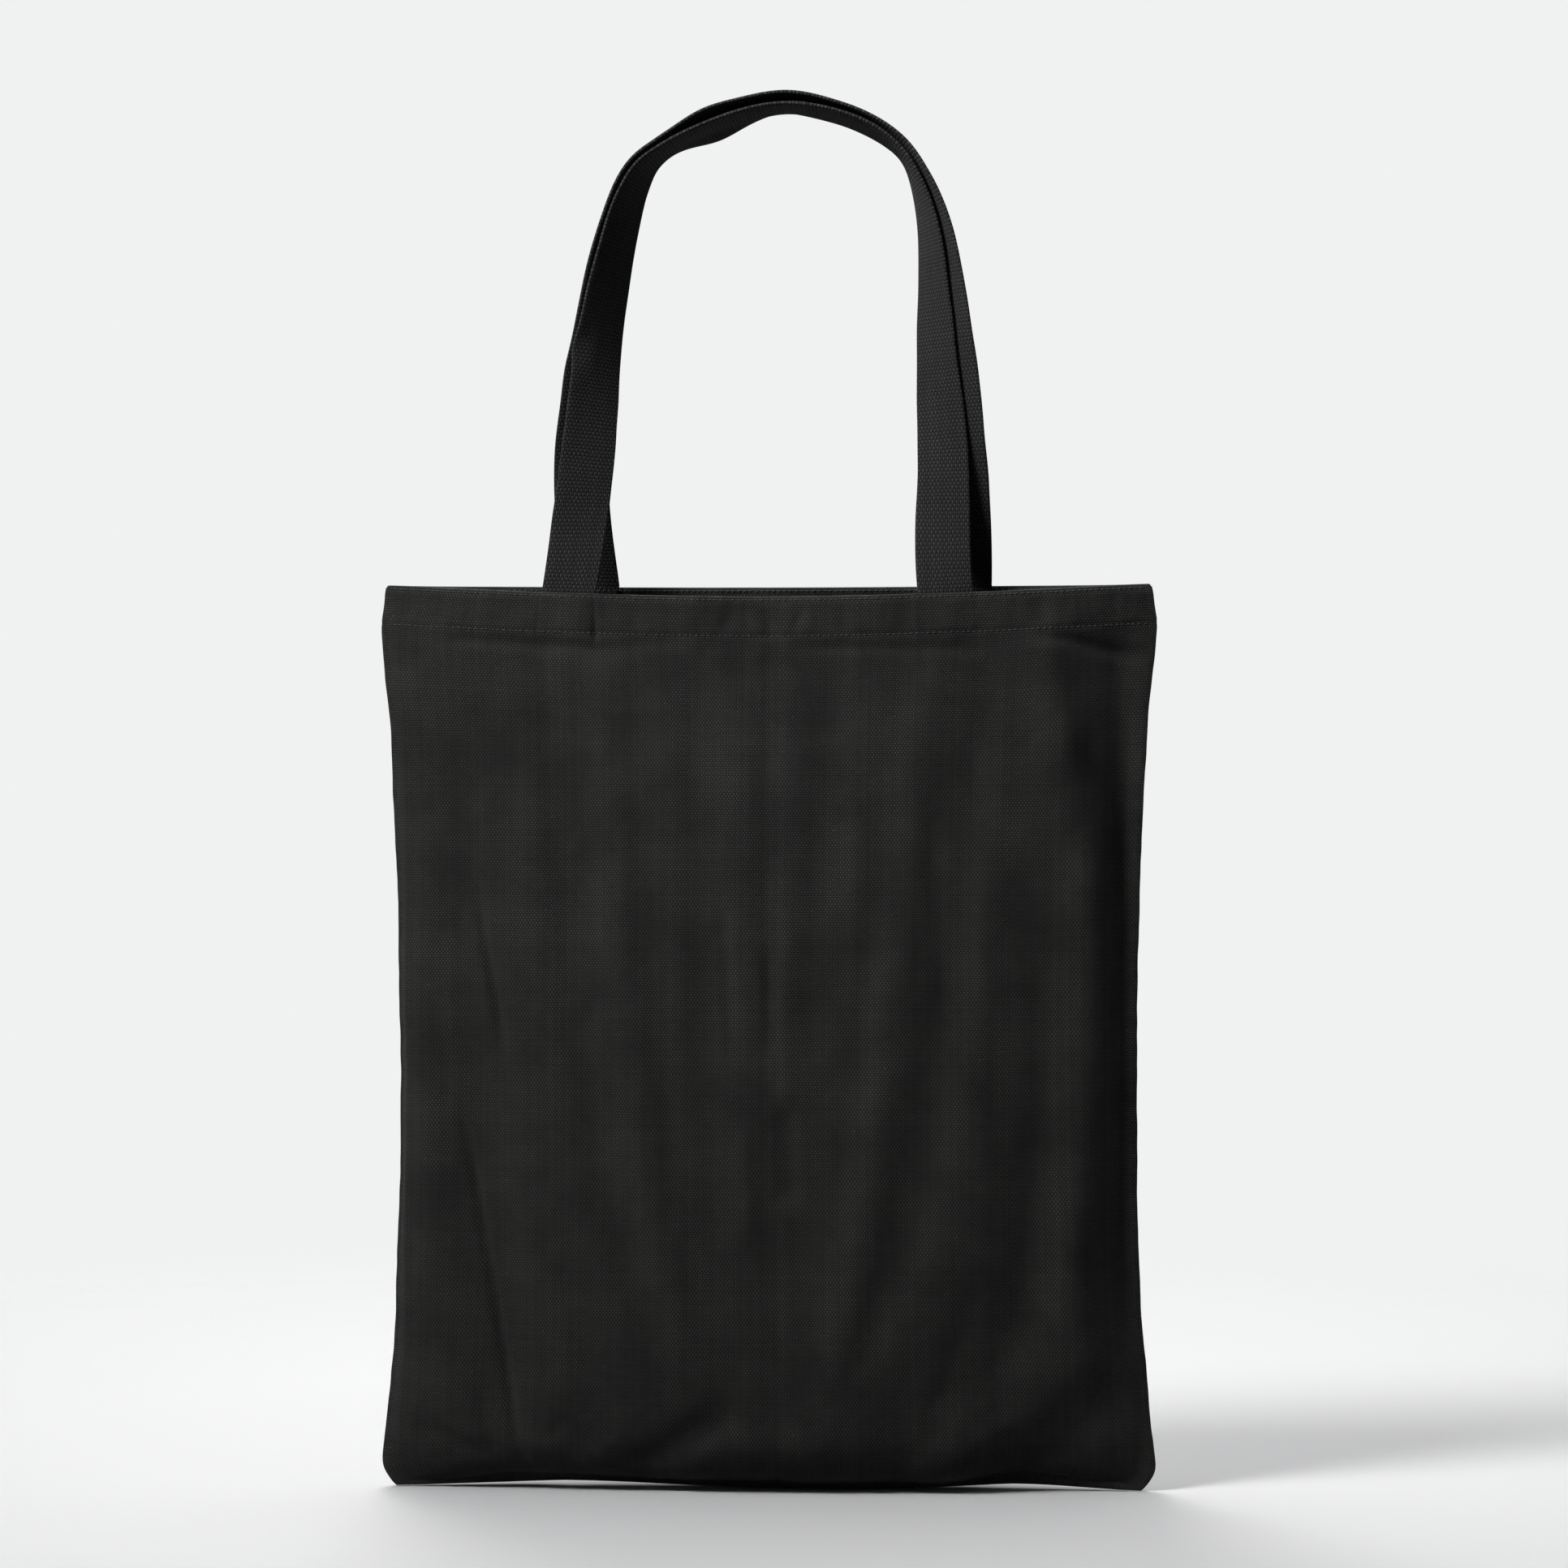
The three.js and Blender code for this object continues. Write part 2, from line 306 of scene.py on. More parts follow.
def woven_material(name, colour, pitch, depth, sheen, mottle, contrast):
    """Cotton weave laid along the piece's own flat coordinates, with slubs, wear and lint, and painted
    shade in the hollows between the threads.
    """
    graph = Graph(name)
    cloth = graph.attribute("cloth").outputs["Vector"]
    wear = graph.attribute("wear").outputs["Fac"]
    across, along, _ = graph.split(cloth)
    drift = graph.noise(cloth, 70.0)
    across = graph.math("MULTIPLY_ADD", drift, 0.9 * MM, across)
    along = graph.math("MULTIPLY_ADD", graph.noise(cloth, 55.0), 1.1 * MM, along)
    height, tone, over = weave(graph, across, along, pitch[0], pitch[1])
    slub = graph.noise(graph.join(graph.times(across, 0.3), along), 900.0, 1.0)
    fibre = graph.noise(cloth, 5200.0, 1.0)
    clouds = graph.noise(cloth, 24.0, 4.0, 0.62)
    streaks = graph.noise(graph.join(across, graph.times(along, 0.22)), 75.0, 2.0)
    patches = graph.math("ADD", graph.times(clouds, 0.8), graph.times(streaks, 0.2))
    over = graph.math("MULTIPLY_ADD", over, 2 * contrast, 1 - contrast)
    # Painted shade: the colour is darkened down to 0.4 where the weave lies low between the threads and
    # lifted on the thread tops.
    shade = graph.times(graph.ramp(height, 0.1, 0.8, 0.4, 1.15), over)
    shade = graph.times(shade, graph.math("MULTIPLY_ADD", tone, 0.3, 0.85))
    shade = graph.times(shade, graph.math("MULTIPLY_ADD", slub, 0.3, 0.85))
    shade = graph.times(shade, graph.ramp(patches, 0.3, 0.7, 1 - mottle, 1 + mottle))
    worn = graph.times(wear, graph.ramp(graph.noise(cloth, 160.0, 3.0, 0.65), 0.35, 0.7))
    worn = graph.times(worn, graph.ramp(height, 0.4, 0.95))
    faded = tuple(2.6 * c for c in colour)
    lint = graph.ramp(graph.noise(cloth, 640.0, 0.0), 0.83, 0.88)
    base = graph.mix(worn, graph.brighten(graph.join(*colour), shade), faded)
    base = graph.mix(graph.times(lint, 0.25), base, (0.12, 0.12, 0.118))
    graph.surface("Base Color", base)
    graph.surface("Roughness", graph.ramp(height, 0.0, 1.0, 0.96, 0.84))
    graph.surface("Specular IOR Level", 0.25)
    graph.surface("Sheen Weight", sheen)
    graph.surface("Sheen Roughness", 0.55)
    graph.surface("Sheen Tint", (0.9, 0.9, 0.88, 1))
    relief = graph.math("ADD", height, graph.times(fibre, 0.35))
    relief = graph.math("ADD", relief, graph.times(slub, 0.3))
    graph.surface("Normal", graph.bump(relief, depth))
    return graph.material


PLY_PITCH = 0.55 * MM           # length of thread in which a ply winds round once


def thread_material(name, colour):
    """Twisted sewing thread: fine ridges that wind round each stitch, with painted shade in the grooves
    between them, and a little sheen.
    """
    graph = Graph(name)
    cloth = graph.attribute("cloth").outputs["Vector"]
    around, along, _ = graph.split(cloth)
    twist = graph.math("MULTIPLY_ADD", along, 2 * math.pi / PLY_PITCH, around)
    ply = graph.math("ABSOLUTE", graph.math("SINE", twist))
    fuzz = graph.noise(cloth, 3000.0, 1.0)
    # Painted shade: the colour darkens in the grooves between the plies and lightens on their ridges.
    shade = graph.times(graph.ramp(ply, 0.0, 0.8, 0.55, 1.15),
                       graph.math("MULTIPLY_ADD", fuzz, 0.5, 0.75))
    graph.surface("Base Color", graph.brighten(graph.join(*colour), shade))
    graph.surface("Roughness", graph.ramp(fuzz, 0.2, 0.8, 0.5, 0.72))
    graph.surface("Sheen Weight", 0.04)
    graph.surface("Normal", graph.bump(ply, 0.06 * MM))
    return graph.material


CANVAS_BLACK = woven_material(
    "canvas_black", (0.0275, 0.0272, 0.0258), (0.733 * MM, 1.1 * MM), 0.16 * MM, 0.02, 0.34, 0.48)
WEBBING_BLACK = woven_material(
    "webbing_black", (0.026, 0.026, 0.0256), (0.96 * MM, 1.65 * MM), 0.36 * MM, 0.03, 0.16, 0.55)
THREAD_BLACK = thread_material("thread_black", (0.037, 0.037, 0.0358))


# ======== Mesh helpers ========
def make_piece(name, points, faces, cloth, wear, material):
    mesh = bpy.data.meshes.new(name)
    mesh.from_pydata(np.asarray(points, float).reshape(-1, 3).tolist(), [], faces)
    mesh.update()
    mesh.shade_smooth()
    coordinates = mesh.attributes.new("cloth", "FLOAT_VECTOR", "POINT")
    coordinates.data.foreach_set("vector", np.asarray(cloth, np.float32).ravel())
    worn = mesh.attributes.new("wear", "FLOAT", "POINT")
    worn.data.foreach_set("value", np.asarray(wear, np.float32).ravel())
    mesh.materials.append(material)
    piece = bpy.data.objects.new(name, mesh)
    add_to_scene(piece)
    return piece


def unit(vectors):
    return vectors / np.maximum(np.linalg.norm(vectors, axis=-1, keepdims=True), 1e-12)


def grid_normals(grid):
    """Unit normals of a grid of points, rows by columns by 3: along a row, then up the rows."""
    along = np.gradient(grid, axis=1)
    up = np.gradient(grid, axis=0)
    return unit(np.cross(along, up))


def catmull(values, positions):
    """Smooth curve through the rows of values, read at positions counted in rows."""
    last = len(values) - 1
    positions = np.clip(positions, 0, last)
    i = np.minimum(positions.astype(int), last - 1)
    t = (positions - i).reshape(-1, *([1] * (values.ndim - 1)))
    before = values[np.maximum(i - 1, 0)]
    after = values[np.minimum(i + 2, last)]
    p, q = values[i], values[i + 1]
    return 0.5 * (2 * p + (q - before) * t + (2 * before - 5 * p + 4 * q - after) * t**2
                  + (3 * p - before - 3 * q + after) * t**3)


def edges_of(quads):
    """Every directed edge of the quads, as two columns of point numbers."""
    return np.concatenate([quads[:, [k, (k + 1) % 4]] for k in range(4)])


def surface_normals(points, quads):
    normals = np.zeros_like(points)
    face = np.cross(points[quads[:, 2]] - points[quads[:, 0]], points[quads[:, 3]] - points[quads[:, 1]])
    for k in range(4):
        np.add.at(normals, quads[:, k], face)
    return unit(normals)


def thick_sheet(name, points, quads, thickness, cloth, wear, material):
    """A closed sheet with the surface of points and quads in its middle."""
    count = len(points)
    half = np.broadcast_to(np.asarray(thickness, float), (count,))[:, None] / 2
    normals = surface_normals(points, quads)
    both = np.concatenate([points + normals * half, points - normals * half])
    edges = edges_of(quads)
    code = edges[:, 0] * count + edges[:, 1]
    open_edges = edges[~np.isin(edges[:, 1] * count + edges[:, 0], code)]
    rim = np.stack([open_edges[:, 1], open_edges[:, 0],
                    open_edges[:, 0] + count, open_edges[:, 1] + count], 1)
    faces = np.concatenate([quads, quads[:, ::-1] + count, rim]).tolist()
    return make_piece(name, both, faces, np.tile(cloth, (2, 1)), np.tile(wear, 2), material)


def quads_between(numbers):
    """The quads between a grid's points, given the number of each point."""
    corners = [numbers[:-1, :-1], numbers[:-1, 1:], numbers[1:, 1:], numbers[1:, :-1]]
    return np.stack(corners, 2).reshape(-1, 4)


def grid_quads(rows, columns):
    return quads_between(np.arange(rows * columns).reshape(rows, columns))


def sample(values, row_positions, column_positions):
    """A grid of values read between its rows and columns."""
    rows = catmull(values, row_positions)
    return np.swapaxes(catmull(np.swapaxes(rows, 0, 1), column_positions), 0, 1)


# ======== The shape of the body ========
SIDES = {"front": -1, "back": 1}

# The upright outline of a panel from the bottom seam to the rim: half width, depth of the
# bulge in the middle, and height, in mm. It is the CAD panel's outline.
OUTLINE = np.array([
    (168, 0, 0.5), (168, 6, 0.5), (168, 9, 0.5), (170, 17.5, 2.2), (174.5, 24.5, 9),
    (173.5, 29, 20), (171, 33.5, 42), (168, 38.5, 80), (166, 41, 130), (165.5, 40, 190),
    (166.5, 36, 245), (168.5, 30, 300), (171, 24, 350), (175, 20, 386), (172.5, 20, 406)])
BULGE_POWER = 2.4
BULGE_EDGE = 0.85
SEAM_OFFSET = 0.65 * MM
EASE_PASSES = 20


def eased_outline():
    """The outline read every millimetre along the cloth, with its corners eased."""
    scale = np.array([PANEL_HIGH.x / OUTLINE[:, 0].max(), MM, RIM / OUTLINE[-1, 2]])
    outline = OUTLINE * scale
    run = np.hypot(np.diff(outline[:, 1]), np.diff(outline[:, 2]))
    length = np.concatenate([[0], np.cumsum(run)])
    at = np.linspace(0, length[-1], int(length[-1] / MM) + 1)
    curve = np.stack([np.interp(at, length, outline[:, k]) for k in range(3)], 1)
    for _ in range(EASE_PASSES):
        curve[1:-1] = (curve[:-2] + 2 * curve[1:-1] + curve[2:]) / 4
    return at, curve


CURVE_AT, CURVE = eased_outline()
PANEL_LENGTH = CURVE_AT[-1]


def half_width_at(height):
    return np.interp(height, CURVE[:, 2], CURVE[:, 0])


def bulge(u):
    return np.maximum(0, 1 - np.abs(u) ** BULGE_POWER) ** BULGE_EDGE


def lens(side, rows, columns):
    """Middle surface of a panel. Rows are lengths up the cloth from the bottom seam; columns
    run from -1 at the left seam to 1 at the right one, evenly along the cloth."""
    fine = np.linspace(-1, 1, 801)
    grid = np.zeros((len(rows), len(columns), 3))
    for j, row in enumerate(rows):
        half_width, depth, height = [np.interp(row, CURVE_AT, CURVE[:, k]) for k in range(3)]
        x = fine * half_width
        y = depth * bulge(fine)
        run = np.concatenate([[0], np.cumsum(np.hypot(np.diff(x), np.diff(y)))])
        at = (np.asarray(columns) + 1) / 2 * run[-1]
        grid[j, :, 0] = np.interp(at, run, x)
        grid[j, :, 1] = side * (SEAM_OFFSET + np.interp(at, run, y))
        grid[j, :, 2] = height
    return grid


def outward(side, grid, columns):
    direction = 1 if columns[-1] > columns[0] else -1
    return -side * direction * grid_normals(grid)


# ---- Cloth simulation ----
SIM_STEP = 5 * MM
SIM_FRAMES = 30
SIM_PRESSURE = 0.8
SIM_GRAVITY = 0.3
RELIEF_BLUR = 9                 # steps: only folds narrower than this are kept
RELIEF_SHARE = 0.8
RELIEF_MOST = 5 * MM


def blurred(values, width):
    """values smoothed over about that many steps both ways."""
    reach = int(3 * width)
    kernel = np.exp(-0.5 * (np.arange(-reach, reach + 1) / width) ** 2)
    kernel /= kernel.sum()
    for axis in (0, 1):
        padding = [(reach, reach) if k == axis else (0, 0) for k in (0, 1)]
        padded = np.pad(values, padding, mode="edge")
        values = np.apply_along_axis(np.convolve, axis, padded, kernel, "valid")
    return values


def simulated_folds():
    """Cut two flat panels, sew them on three sides, blow the bag up a little and let it stand.
    Returns the folds of each panel: how far the cloth stands out from its smooth bulge."""
    rows = int(round(PANEL_LENGTH / SIM_STEP))
    columns = int(round(FLAT_WIDTH / SIM_STEP))
    lengths = np.linspace(0, PANEL_LENGTH, rows + 1)
    across = np.linspace(-1, 1, columns + 1)
    numbers, start, flat = {}, [], []
    for name, side in SIDES.items():
        shape = lens(side, lengths, across)
        numbers[name] = np.zeros((rows + 1, columns + 1), int)
        for j in range(rows + 1):
            for i in range(columns + 1):
                sewn = i in (0, columns) or j == 0
                if sewn and name == "back":
                    numbers[name][j, i] = numbers["front"][j, i]
                    continue
                numbers[name][j, i] = len(start)
                x, y, z = shape[j, i]
                start.append((x, 0 if sewn else y, z))
                flat.append((across[i] * FLAT_WIDTH / 2, 0 if sewn else side * CANVAS, lengths[j]))
    quads = []
    for name, side in SIDES.items():
        block = quads_between(numbers[name])
        quads += (block if side < 0 else block[:, ::-1]).tolist()
    mesh = bpy.data.meshes.new("blank")
    mesh.from_pydata(start, [], quads)
    blank = bpy.data.objects.new("blank", mesh)
    add_to_scene(blank)
    blank.shape_key_add(name="start")
    cut = blank.shape_key_add(name="cut")
    cut.data.foreach_set("co", np.array(flat).ravel())
    cut.value = 0
    rim = blank.vertex_groups.new(name="rim")
    rim.add(sorted({int(n) for name in SIDES for n in numbers[name][-1]}), 1.0, "REPLACE")
    bpy.ops.mesh.primitive_plane_add(size=2)
    ground = bpy.context.object
    ground.modifiers.new("ground", "COLLISION")
    ground.collision.thickness_outer = MM
    modifier = blank.modifiers.new("cloth", "CLOTH")
    modifier.collision_settings.distance_min = MM
    modifier.point_cache.frame_end = SIM_FRAMES
    cloth = modifier.settings
    cloth.quality = 8
    cloth.mass = 0.3
    cloth.tension_stiffness = cloth.compression_stiffness = 60
    cloth.shear_stiffness = 20
    cloth.bending_stiffness = 0.5
    cloth.tension_damping = cloth.compression_damping = cloth.shear_damping = 10
    cloth.bending_damping = 1
    cloth.air_damping = 3
    cloth.vertex_group_mass = "rim"
    cloth.use_pressure = True
    cloth.uniform_pressure_force = SIM_PRESSURE
    cloth.rest_shape_key = cut
    cloth.effector_weights.gravity = SIM_GRAVITY
    scene = bpy.context.scene
    scene.frame_start, scene.frame_end = 1, SIM_FRAMES
    for step in range(1, SIM_FRAMES + 1):
        scene.frame_set(step)
    settled = blank.evaluated_get(bpy.context.evaluated_depsgraph_get()).data
    end = np.zeros(len(start) * 3)
    settled.vertices.foreach_get("co", end)
    end = end.reshape(-1, 3)
    folds = {}
    for name, side in SIDES.items():
        moved = side * (end - np.array(start))[numbers[name], 1]
        folds[name] = moved - blurred(moved, RELIEF_BLUR)
    for thing in (blank, ground):
        data = thing.data
        bpy.data.objects.remove(thing)
        bpy.data.meshes.remove(data)
    scene.frame_set(1)
    return folds


RELIEF = simulated_folds()


def relief(name, rows, columns):
    """The simulated folds at those rows and columns, fading to nothing at seams and rim."""
    if RELIEF is None:
        return np.zeros((len(rows), len(columns)))
    values = RELIEF[name]
    high = np.asarray(rows) / PANEL_LENGTH * (values.shape[0] - 1)
    wide = (np.asarray(columns) + 1) / 2 * (values.shape[1] - 1)
    found = RELIEF_SHARE * sample(values, high, wide)
    found = RELIEF_MOST * np.tanh(found / RELIEF_MOST)
    fade_up = smooth(0, 30 * MM, rows) * smooth(0, 14 * MM, PANEL_LENGTH - np.asarray(rows))
    fade_across = smooth(0, 0.16, 1 - np.abs(columns))
    return found * fade_up[:, None] * fade_across[None, :]


# ---- Folds listed one by one ----
# Each is a line from one point of the panel to another, x and height in mm, then how wide
# and how high the fold is. A negative height is a groove.
FRONT_FOLDS = [
    (2, 392, 6, 12, 5, -1.0),
    (-18, 262, -13, 190, 3.5, -1.2),
    (3, 242, 4, 203, 3, -1.1),
    (10, 172, 12, 132, 5, -2.4),
    (-8, 162, -6, 118, 3, 0.6),
    (76, 300, 82, 215, 5, -0.9),
    (-128, 264, -117, 203, 2.3, -2.3),
    (-134, 162, -111, 18, 2.4, -2.2),
    (-150, 395, -150, 30, 22, 5.0),
    (-118, 182, -52, 122, 28, -3.2),
    (-96, 96, -50, 60, 26, -1.6),
    (-60, 10, -18, 36, 9, -3.2),
    (-156, 30, -128, 15, 4, -1.2),
    (-128, 42, -123, 16, 3, -1.0),
    (-96, 30, -84, 10, 4, -1.2),
    (74, 2, 118, 62, 11, 2.4),
    (104, -4, 150, 46, 13, -2.8),
    (124, 392, 134, 330, 11, 4.0),
    (134, 350, 142, 262, 11, 4.2),
    (141, 276, 135, 110, 12, 5.0),
    (135, 124, 142, 44, 11, 4.0),
    (158, 386, 165, 270, 9, -3.6),
    (165, 280, 163, 80, 9, -4.0),
    (-170, 3, 170, 3, 15, -4.5),
    (-142, 383, -74, 381, 3.5, -1.3),
    (20, 383, 96, 380, 3.0, -0.8),
    (126, 385, 168, 373, 3.6, -1.9),
    (-38, 387, -80, 378, 4.5, -0.8),
    (-77, 404, -76, 386, 1.6, -1.7),
    (-14, 402, -18, 391, 3, -2.0),
    (-2, 402, 4, 390, 3, -2.0),
    (18, 402, 14, 392, 2.6, -1.6),
    (-60, 330, -20, 235, 16, 0.9),
    (60, 350, 35, 250, 18, 0.8),
    (112, 300, 104, 170, 14, -0.8),
]
BACK_FOLDS = [
    (-3, 390, 2, 14, 5, -0.8),
    (34, 300, 28, 205, 4, -0.9),
    (-64, 250, -70, 130, 6, -1.0),
    (122, 240, 112, 160, 2.2, -0.8),
    (-126, 140, -112, 24, 2.4, -0.8),
    (88, 10, 128, 64, 11, 2.2),
    (60, 160, 118, 112, 28, -2.0),
    (-96, 6, -52, 40, 10, -2.8),
    (-148, 380, -154, 120, 11, 1.8),
    (148, 370, 152, 110, 11, 1.8),
    (10, 386, 52, 380, 4, -0.9),
]
HAND_FOLDS = {"front": FRONT_FOLDS, "back": BACK_FOLDS}


def fold_height(x, z, fold):
    x0, z0, x1, z1, width, height = [value * MM for value in fold]
    length = math.hypot(x1 - x0, z1 - z0)
    ahead = ((x - x0) * (x1 - x0) + (z - z0) * (z1 - z0)) / length
    aside = ((x - x0) * (z1 - z0) - (z - z0) * (x1 - x0)) / length
    ease = max(0.18 * length, 1.5 * width)
    ends = smooth(-ease, ease, ahead) * smooth(-ease, ease, length - ahead)
    return height * ends * np.exp(-(aside / width) ** 2)


def unevenness(x, z, wide, high, seed):
    """Noise over a panel, with features that many mm wide and high."""
    return wave(together(x / wide, z / high, 0), MM, seed)


# ---- Sewing marks ----
RIM_STITCH_DROP = 1.7 * MM
HEM_STITCH_DROP = HEM_DEPTH - 1.2 * MM
ALLOWANCE = 10 * MM
PAIR_SHIFT = 3.8 * MM           # the two handles are sewn this far to either side of true
STITCH_GROOVE = 0.42 * MM       # how far a row of stitches pulls the cloth in
GROOVE_WIDTH = 1.2 * MM
LAYER_SHOWS = 0.3 * MM          # how far a hidden layer of canvas lifts the cloth over it
TAIL_SHOWS = 0.6 * MM           # how far a sewn end of webbing lifts the cloth over it
TAIL_MIDDLE = (TAIL_LOW.x + TAIL_HIGH.x) / 2
STRAP_MIDDLES = {"front": (TAIL_MIDDLE, -TAIL_MIDDLE - 2 * PAIR_SHIFT),
                 "back": (TAIL_MIDDLE + 2 * PAIR_SHIFT, -TAIL_MIDDLE)}


def sewing_height(name, grid, rows, columns):
    """Puckers along the stitching, and what lies under the cloth showing through it."""
    x = grid[:, :, 0]
    drop = PANEL_LENGTH - np.asarray(rows)[:, None] + 0 * x
    seed = 3 if name == "front" else 8
    gathers = unevenness(x, drop, 7, 40, seed)
    fine = unevenness(x, drop, 3.2, 14, seed + 1)
    loose = 0.45 + 0.9 * bump(x, 8 * MM, 30 * MM) + 0.5 * bump(x, 120 * MM, 40 * MM)
    below = smooth(HEM_STITCH_DROP, HEM_STITCH_DROP + 3 * MM, drop) * np.exp(
        -np.maximum(0, drop - HEM_STITCH_DROP) / (12 * MM))
    between = smooth(RIM_STITCH_DROP, 6 * MM, drop) * smooth(0, 4 * MM, HEM_STITCH_DROP - drop)
    height = (0.6 * gathers * loose + 0.2 * fine) * MM * (below + 1.2 * between)
    for line in (RIM_STITCH_DROP, HEM_STITCH_DROP):
        height = height - STITCH_GROOVE * bump(drop, line, GROOVE_WIDTH)
    hem_edge = 1 - smooth(HEM_DEPTH - 0.4 * MM, HEM_DEPTH + 1.6 * MM, drop)
    height = height + LAYER_SHOWS * hem_edge
    for middle in STRAP_MIDDLES[name]:
        over = 1 - smooth(HALF_WEBBING - 1.5 * MM, HALF_WEBBING + 3 * MM, np.abs(x - middle))
        under = smooth(0, 9 * MM, TAIL_LENGTH + 3 * MM - drop)
        height = height + TAIL_SHOWS * over * under
    from_seam = (1 - np.abs(np.asarray(columns)))[None, :] * FLAT_WIDTH / 2
    ridge = bump(from_seam, ALLOWANCE - 0.5 * MM, 1.7 * MM)
    return height + LAYER_SHOWS * ridge * smooth(HEM_DEPTH, HEM_DEPTH + 8 * MM, drop)


def body(name, rows, columns):
    """Middle surface of a panel's outer layer with all its folds, and its smooth outward normals."""
    side = SIDES[name]
    rows, columns = np.asarray(rows, float), np.asarray(columns, float)
    grid = lens(side, rows, columns)
    near = lens(side, np.array([0, 0.5, 1]) * MM + rows[0], columns) if len(rows) < 3 else grid
    normal = outward(side, near, columns)[:len(rows)]
    x, z = grid[:, :, 0], grid[:, :, 2]
    height = relief(name, rows, columns)
    for fold in HAND_FOLDS[name]:
        height = height + fold_height(x, z, fold)
    seed = 11 if name == "front" else 17
    streaks = unevenness(x, z, 17, 75, seed)
    clouds = unevenness(x, z, 42, 50, seed + 1)
    crumple = unevenness(x, z, 9, 13, seed + 2)
    height = height + (0.42 * streaks + 1.1 * clouds + 0.1 * crumple) * MM
    height = height * smooth(0, 0.05, 1 - np.abs(columns))[None, :]
    height = height * smooth(0, 12 * MM, rows)[:, None]
    low = 1 - smooth(0, 26 * MM, PANEL_LENGTH - rows)
    height = height * (1 - 0.75 * low)[:, None] + sewing_height(name, grid, rows, columns)
    return grid + normal * height[:, :, None], normal


# ---- How the whole bag settles ----
RIM_SHIFT = {"front": (-4.0 * MM, 2.2 * MM), "back": (1.4 * MM, 2.2 * MM)}   # middle, ends


def settle(points):
    """The last small shape change, the same for every piece of the bag at the same place:
    the rim sags, the bottom edge lifts between its corners, and the side seams wander."""
    points = np.array(points, float)
    x, y, z = points[..., 0].copy(), points[..., 1].copy(), points[..., 2].copy()
    reach = np.clip(np.abs(x) / PANEL_HIGH.x, 0, 1)
    back = smooth(-15 * MM, 15 * MM, y)
    shift = 0
    for name, share in (("front", 1 - back), ("back", back)):
        middle, end = RIM_SHIFT[name]
        shift = shift + share * (middle + (end - middle) * reach ** 1.7)
    points[..., 2] += shift * smooth(RIM - 95 * MM, RIM - 22 * MM, z)
    lift_front = 3.8 * bump(x, -105 * MM, 46 * MM) + 3.2 * bump(x, 124 * MM, 30 * MM)
    lift_back = 3.4 * bump(x, -60 * MM, 46 * MM) + 3.0 * bump(x, 96 * MM, 36 * MM)
    lift = (lift_front * (1 - back) + lift_back * back) * MM
    points[..., 2] += lift * (1 - smooth(2 * MM, 40 * MM, z))
    edge = smooth(0.72, 1.0, reach)
    place = together(np.sign(x) * 0.4, 0, z)
    wander = 0.7 * wave(place, 34 * MM, 21) + 0.3 * wave(place, 9 * MM, 22)
    points[..., 0] += np.sign(x) * edge * wander * MM
    points[..., 1] += edge * 1.6 * MM * wave(place, 75 * MM, 23) * smooth(0, 60 * MM, z)
    return points


# ======== The canvas panels ========
HEM_FOLD = 0.85 * MM            # between the middles of the layers in the hem
TURNED_UNDER = 10 * MM          # raw edge folded back up inside the hem
SEAM_SIDE = 0.85 * MM           # middle of a panel to the seam's plane, just before it turns in
SEAM_ROUND = 1.1 * MM
SEAM_TURN = 2.4 * MM            # length of cloth that goes round the seam
CORNER = 14 * MM                # seam allowances fan out from this far inside each corner

INNER_HEM = 2 * HEM_FOLD
RIM_LENGTH = PANEL_LENGTH - CANVAS / 2 - HEM_FOLD


def panel_rows():
    """Lengths up the cloth, closer together near the bottom and the hem."""
    coarse = np.arange(24 * MM, RIM_LENGTH - 34 * MM, 1.7 * MM)
    low = np.linspace(2.2 * MM, 24 * MM, 15)[:-1]
    high = np.linspace(coarse[-1], RIM_LENGTH, 36)[1:]
    return np.concatenate([low, coarse, high])


def panel_columns(name):
    """Places across the cloth from -1 to 1, closer together over the edges of the webbing."""
    half_width = half_width_at(RIM)
    columns = list(np.linspace(-1, 1, 211))
    for middle in STRAP_MIDDLES[name]:
        for edge in (-1, 1):
            at = (middle + edge * HALF_WEBBING) / half_width
            columns = [c for c in columns if abs(c - at) > 0.011]
            columns += list(at + np.linspace(-0.009, 0.009, 7))
    return np.sort(columns)


def hem_stations():
    """Where the hem's rows run: how far inwards, how far above or below the rim's centre line,
    and the length of cloth since the rim."""
    stations = []
    for angle in np.linspace(0, math.pi, 8)[1:]:
        stations.append((HEM_FOLD * (1 - math.cos(angle)), HEM_FOLD * math.sin(angle), HEM_FOLD * angle))
    at_rim = stations[-1][2]
    for drop in np.linspace(0, HEM_DEPTH - 2 * MM, 15)[1:]:
        stations.append((INNER_HEM, -drop, at_rim + drop))
    at_fold = stations[-1]
    radius = HEM_FOLD / 2
    for angle in np.linspace(0, math.pi, 6)[1:]:
        stations.append((INNER_HEM - radius * (1 - math.cos(angle)),
                         at_fold[1] - radius * math.sin(angle), at_fold[2] + radius * angle))
    last = stations[-1]
    for rise in np.linspace(0, TURNED_UNDER, 5)[1:]:
        stations.append((HEM_FOLD, last[1] + rise, last[2] + rise))
    return stations


def clear_of_seam(side, y, least):
    """y kept on its own side of the seam's plane, easing off as it nears it."""
    away = side * y
    room = 0.5 * MM
    return side * (least + room * np.logaddexp(0, (away - least) / room))


